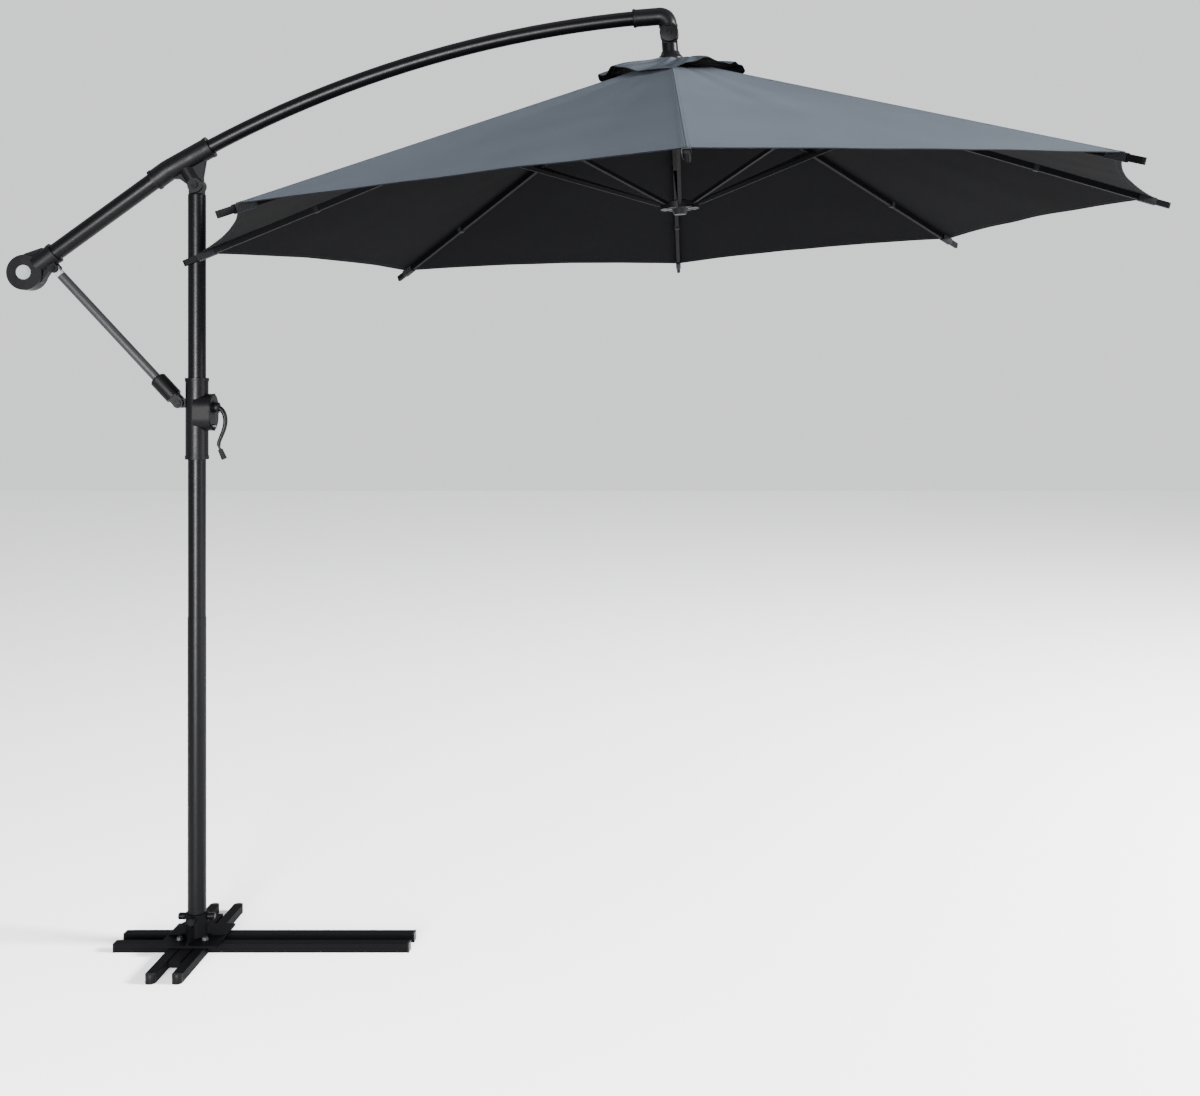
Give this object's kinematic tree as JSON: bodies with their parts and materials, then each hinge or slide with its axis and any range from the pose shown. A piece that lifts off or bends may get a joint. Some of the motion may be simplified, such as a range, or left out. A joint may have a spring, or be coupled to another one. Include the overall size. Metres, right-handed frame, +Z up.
{
  "type": "cantilever patio umbrella",
  "caption": "Cantilever patio umbrella: octagonal cloth canopy with a vent cap, hung from a curved arm on a sliding crank mast and a cross base.",
  "frame": {"origin": "on the floor at the mast axis, in the middle of the foot block's flat underside", "axes": "+X from the mast towards the canopy, +Y to the left when looking along +X, +Z up along the mast"},
  "size_m": [3.2429, 2.7542, 2.612],
  "materials": {
    "powder_coated_steel": "satin",
    "powder_coated_aluminium": "satin",
    "black_nylon": "matte",
    "grey_plastic": "satin",
    "zinc_plated_steel": "satin",
    "polyester_cloth": "matte",
    "black_oxide_steel": "satin"
  },
  "bodies": {
    "base": {"long_rails": "powder_coated_steel", "short_rails": "powder_coated_steel", "rail_end_caps": "black_nylon", "mast_foot": "powder_coated_steel", "foot_bolts": "zinc_plated_steel", "socket_screws": "black_nylon", "mast_lower": "powder_coated_steel", "mast_upper": "powder_coated_steel", "mast_head": "black_nylon"},
    "slider": {"slider_sleeve": "black_nylon", "winch_cover": "black_nylon", "cover_screws": "black_oxide_steel", "strut_pin_lower": "black_oxide_steel"},
    "winch": {"winch_shaft": "zinc_plated_steel", "winch_drum": "zinc_plated_steel", "ratchet_wheel": "zinc_plated_steel", "crank_arm": "black_nylon"},
    "grip": {"crank_grip": "black_nylon"},
    "pawl": {"ratchet_pawl": "zinc_plated_steel"},
    "strut": {"strut_tube": "powder_coated_steel", "strut_socket": "black_nylon", "strut_eye": "grey_plastic"},
    "arm": {"arm_bracket": "black_nylon", "arm_rear_tube": "powder_coated_aluminium", "arm_front_tube": "powder_coated_aluminium", "tail_fitting": "black_nylon", "tail_caps": "grey_plastic", "arm_pins": "black_oxide_steel", "elbow_fitting": "black_nylon"},
    "tail_pulley": {"tail_pulley": "grey_plastic"},
    "elbow_pulley": {"elbow_pulley": "grey_plastic"},
    "canopy_head": {"pole_knuckle": "powder_coated_aluminium", "vent_collar": "black_nylon", "top_hub": "black_nylon", "vent_cap": "polyester_cloth"},
    "runner": {"runner": "black_nylon"},
    "rib_1": {"rib_1": "powder_coated_aluminium", "canopy_panel_1": "polyester_cloth"},
    "stretcher_1": {"stretcher_1": "powder_coated_aluminium"},
    "rib_2": {"rib_2": "powder_coated_aluminium", "canopy_panel_2": "polyester_cloth"},
    "stretcher_2": {"stretcher_2": "powder_coated_aluminium"},
    "rib_3": {"rib_3": "powder_coated_aluminium", "canopy_panel_3": "polyester_cloth"},
    "stretcher_3": {"stretcher_3": "powder_coated_aluminium"},
    "rib_4": {"rib_4": "powder_coated_aluminium", "canopy_panel_4": "polyester_cloth"},
    "stretcher_4": {"stretcher_4": "powder_coated_aluminium"},
    "rib_5": {"rib_5": "powder_coated_aluminium", "canopy_panel_5": "polyester_cloth"},
    "stretcher_5": {"stretcher_5": "powder_coated_aluminium"},
    "rib_6": {"rib_6": "powder_coated_aluminium", "canopy_panel_6": "polyester_cloth"},
    "stretcher_6": {"stretcher_6": "powder_coated_aluminium"},
    "rib_7": {"rib_7": "powder_coated_aluminium", "canopy_panel_7": "polyester_cloth"},
    "stretcher_7": {"stretcher_7": "powder_coated_aluminium"},
    "rib_8": {"rib_8": "powder_coated_aluminium", "canopy_panel_8": "polyester_cloth"},
    "stretcher_8": {"stretcher_8": "powder_coated_aluminium"}
  },
  "joints": [
    {"name": "arm_tilt", "type": "hinge", "parent": "base", "child": "arm", "pos_m": [0, 0, 2.114], "axis": [0, -1, 0], "range_deg": [-2, 12]},
    {"name": "slider_slide", "type": "slide", "parent": "base", "child": "slider", "axis": [0, 0, 1], "range_m": [-0.12367, 0.0207]},
    {"name": "strut_swing", "type": "hinge", "parent": "slider", "child": "strut", "pos_m": [-0.047, 0, 1.51], "axis": [0, -1, 0], "range_deg": [-8.08, 1.39]},
    {"name": "crank_turn", "type": "hinge", "parent": "slider", "child": "winch", "pos_m": [0, 0, 1.498], "axis": [1, 0, 0], "continuous": true},
    {"name": "grip_spin", "type": "hinge", "parent": "winch", "child": "grip", "pos_m": [0.061, 0, 1.389], "axis": [0.4036, 0, -0.9149], "continuous": true},
    {"name": "pawl_lift", "type": "hinge", "parent": "slider", "child": "pawl", "pos_m": [0, 0.016, 1.454], "axis": [1, 0, 0], "range_deg": [0, 7], "stiffness_Nm_per_rad": 0.05, "springref_deg": -17.19},
    {"name": "tail_pulley_turn", "type": "hinge", "parent": "arm", "child": "tail_pulley", "pos_m": [-0.47156, 0, 1.87251], "axis": [0, 1, 0], "continuous": true},
    {"name": "elbow_pulley_turn", "type": "hinge", "parent": "arm", "child": "elbow_pulley", "pos_m": [1.31105, 0, 2.588], "axis": [0, 1, 0], "continuous": true},
    {"name": "canopy_tilt", "type": "hinge", "parent": "arm", "child": "canopy_head", "pos_m": [1.314, 0, 2.538], "axis": [0, -1, 0], "range_deg": [0, 12]},
    {"name": "runner_slide", "type": "slide", "parent": "canopy_head", "child": "runner", "axis": [0.061, 0, -0.9981], "range_m": [0, 0.7771]},
    {"name": "rib_1_fold", "type": "hinge", "parent": "canopy_head", "child": "rib_1", "pos_m": [1.35977, 0.00105, 2.44462], "axis": [-0.0261, 0.9997, -0.0016], "range_deg": [0, 63.84], "deforming": ["canopy_panel_1"]},
    {"name": "stretcher_1_fold", "type": "hinge", "parent": "rib_1", "child": "stretcher_1", "pos_m": [1.92284, 0.01551, 2.2866], "axis": [-0.0261, 0.9997, -0.0016], "range_deg": [-127.68, 0]},
    {"name": "rib_2_fold", "type": "hinge", "parent": "canopy_head", "child": "rib_2", "pos_m": [1.34734, 0.02901, 2.44386], "axis": [-0.724, 0.6884, -0.0443], "range_deg": [0, 63.84], "deforming": ["canopy_panel_2"]},
    {"name": "stretcher_2_fold", "type": "hinge", "parent": "rib_2", "child": "stretcher_2", "pos_m": [1.73872, 0.42983, 2.27534], "axis": [-0.724, 0.6884, -0.0443], "range_deg": [-127.68, 0]},
    {"name": "rib_3_fold", "type": "hinge", "parent": "canopy_head", "child": "rib_3", "pos_m": [1.31882, 0.03999, 2.44211], "axis": [-0.9978, -0.0262, -0.061], "range_deg": [0, 63.84], "deforming": ["canopy_panel_3"]},
    {"name": "stretcher_3_fold", "type": "hinge", "parent": "rib_3", "child": "stretcher_3", "pos_m": [1.31611, 0.59236, 2.24949], "axis": [-0.9978, -0.0262, -0.061], "range_deg": [-127.68, 0]},
    {"name": "rib_4_fold", "type": "hinge", "parent": "canopy_head", "child": "rib_4", "pos_m": [1.2909, 0.02753, 2.44041], "axis": [-0.6871, -0.7254, -0.042], "range_deg": [0, 63.84], "deforming": ["canopy_panel_4"]},
    {"name": "stretcher_4_fold", "type": "hinge", "parent": "rib_4", "child": "stretcher_4", "pos_m": [0.90256, 0.40789, 2.2242], "axis": [-0.6871, -0.7254, -0.042], "range_deg": [-127.68, 0]},
    {"name": "rib_5_fold", "type": "hinge", "parent": "canopy_head", "child": "rib_5", "pos_m": [1.27995, -0.00105, 2.43974], "axis": [0.0261, -0.9997, 0.0016], "range_deg": [0, 63.84], "deforming": ["canopy_panel_5"]},
    {"name": "stretcher_5_fold", "type": "hinge", "parent": "rib_5", "child": "stretcher_5", "pos_m": [0.74033, -0.01551, 2.21428], "axis": [0.0261, -0.9997, 0.0016], "range_deg": [-127.68, 0]},
    {"name": "rib_6_fold", "type": "hinge", "parent": "canopy_head", "child": "rib_6", "pos_m": [1.29238, -0.02901, 2.4405], "axis": [0.724, -0.6884, 0.0443], "range_deg": [0, 63.84], "deforming": ["canopy_panel_6"]},
    {"name": "stretcher_6_fold", "type": "hinge", "parent": "rib_6", "child": "stretcher_6", "pos_m": [0.92446, -0.42983, 2.22554], "axis": [0.724, -0.6884, 0.0443], "range_deg": [-127.68, 0]},
    {"name": "rib_7_fold", "type": "hinge", "parent": "canopy_head", "child": "rib_7", "pos_m": [1.32091, -0.03999, 2.44224], "axis": [0.9978, 0.0262, 0.061], "range_deg": [0, 63.84], "deforming": ["canopy_panel_7"]},
    {"name": "stretcher_7_fold", "type": "hinge", "parent": "rib_7", "child": "stretcher_7", "pos_m": [1.34707, -0.59236, 2.25139], "axis": [0.9978, 0.0262, 0.061], "range_deg": [-127.68, 0]},
    {"name": "rib_8_fold", "type": "hinge", "parent": "canopy_head", "child": "rib_8", "pos_m": [1.34882, -0.02753, 2.44395], "axis": [0.6871, 0.7254, 0.042], "range_deg": [0, 63.84], "deforming": ["canopy_panel_8"]},
    {"name": "stretcher_8_fold", "type": "hinge", "parent": "rib_8", "child": "stretcher_8", "pos_m": [1.76062, -0.40789, 2.27668], "axis": [0.6871, 0.7254, 0.042], "range_deg": [-127.68, 0]}
  ],
  "couplings": [
    {"joint": "slider_slide", "follows": "arm_tilt", "m_per_rad": -0.59003},
    {"joint": "strut_swing", "follows": "arm_tilt", "ratio": -0.66918},
    {"joint": "rib_1_fold", "follows": "runner_slide", "rad_per_m": 1.4336},
    {"joint": "stretcher_1_fold", "follows": "runner_slide", "rad_per_m": -2.8672},
    {"joint": "rib_2_fold", "follows": "runner_slide", "rad_per_m": 1.4336},
    {"joint": "stretcher_2_fold", "follows": "runner_slide", "rad_per_m": -2.8672},
    {"joint": "rib_3_fold", "follows": "runner_slide", "rad_per_m": 1.4336},
    {"joint": "stretcher_3_fold", "follows": "runner_slide", "rad_per_m": -2.8672},
    {"joint": "rib_4_fold", "follows": "runner_slide", "rad_per_m": 1.4336},
    {"joint": "stretcher_4_fold", "follows": "runner_slide", "rad_per_m": -2.8672},
    {"joint": "rib_5_fold", "follows": "runner_slide", "rad_per_m": 1.4336},
    {"joint": "stretcher_5_fold", "follows": "runner_slide", "rad_per_m": -2.8672},
    {"joint": "rib_6_fold", "follows": "runner_slide", "rad_per_m": 1.4336},
    {"joint": "stretcher_6_fold", "follows": "runner_slide", "rad_per_m": -2.8672},
    {"joint": "rib_7_fold", "follows": "runner_slide", "rad_per_m": 1.4336},
    {"joint": "stretcher_7_fold", "follows": "runner_slide", "rad_per_m": -2.8672},
    {"joint": "rib_8_fold", "follows": "runner_slide", "rad_per_m": 1.4336},
    {"joint": "stretcher_8_fold", "follows": "runner_slide", "rad_per_m": -2.8672}
  ]
}
